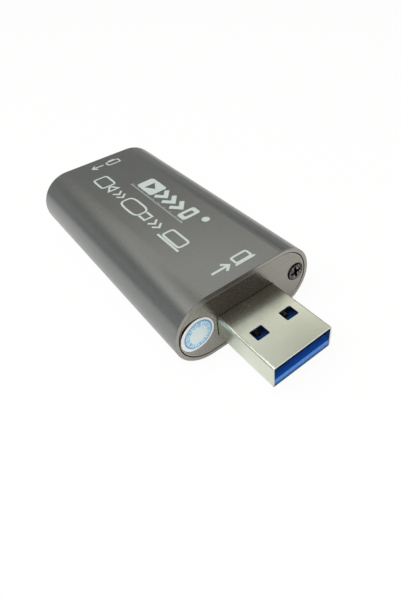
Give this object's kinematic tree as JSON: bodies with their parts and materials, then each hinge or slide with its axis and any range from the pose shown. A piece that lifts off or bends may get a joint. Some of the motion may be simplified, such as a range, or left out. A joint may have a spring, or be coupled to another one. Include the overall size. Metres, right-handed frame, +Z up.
{
  "type": "video capture box",
  "caption": "Small extruded metal box with round sides, a plug for a computer at one end and a video socket at the other, that turns a video signal into data.",
  "frame": {"origin": "under the middle of the whole length with the plug, on the flat face that the box rests on", "axes": "+X along the box out of the plug, +Y across it, +Z up through the flat faces"},
  "size_m": [0.0649, 0.028, 0.0132],
  "materials": {
    "anodised_aluminium": "sand-blasted and anodised, warm gunmetal grey",
    "blackened_steel": "blackened",
    "seal_paper": "smooth white with a pale blue print",
    "nickel_plate": "satin nickel plate on sheet",
    "blue_plastic": "satin",
    "black_plastic": "matte",
    "gold_plate": "thin gold plate",
    "green_board": "solder mask",
    "chip_epoxy": "matte moulded",
    "tinned_lead": "tinned",
    "grey_ferrite": "matte",
    "amber_epoxy": "matte moulded",
    "tan_ceramic": "glazed"
  },
  "bodies": {
    "box": {"sleeve": "anodised_aluminium", "plug_end_plate": "anodised_aluminium", "socket_end_plate": "anodised_aluminium", "plug_plate_screws": "blackened_steel", "socket_plate_screws": "blackened_steel", "tamper_seal": "seal_paper", "plug_shell": "nickel_plate", "plug_tongue": "blue_plastic", "plug_flat_contacts": "gold_plate", "plug_spring_tails": "gold_plate", "socket_shell": "nickel_plate", "socket_tongue": "black_plastic", "socket_upper_contacts": "gold_plate", "socket_lower_contacts": "gold_plate", "circuit_board": "green_board", "capture_chip": "chip_epoxy", "capture_chip_leads": "tinned_lead", "memory_chip": "chip_epoxy", "memory_chip_leads": "tinned_lead", "clock_crystal": "tinned_lead", "voltage_regulators": "chip_epoxy", "regulator_leads": "tinned_lead", "power_inductors": "grey_ferrite", "tantalum_capacitors": "amber_epoxy", "ceramic_capacitors": "tan_ceramic", "chip_resistors": "chip_epoxy", "surge_arrays": "chip_epoxy", "line_chokes": "grey_ferrite"},
    "contact_spring_set": {"plug_contact_springs": "gold_plate"},
    "upper_finger_pair": {"socket_upper_fingers": "nickel_plate"},
    "lower_finger_pair": {"socket_lower_fingers": "nickel_plate"}
  },
  "joints": [
    {"name": "contact_spring_bend", "type": "hinge", "parent": "box", "child": "contact_spring_set", "pos_m": [0.02125, 0, 0.00475], "axis": [0, 1, 0], "range_deg": [0, 7], "stiffness_Nm_per_rad": 0.05},
    {"name": "upper_finger_bend", "type": "hinge", "parent": "box", "child": "upper_finger_pair", "pos_m": [-0.0245, 0, 0.0093], "axis": [0, 1, 0], "range_deg": [0, 4], "stiffness_Nm_per_rad": 0.3},
    {"name": "lower_finger_bend", "type": "hinge", "parent": "box", "child": "lower_finger_pair", "pos_m": [-0.0245, 0, 0.00445], "axis": [0, -1, 0], "range_deg": [0, 4], "stiffness_Nm_per_rad": 0.3}
  ]
}
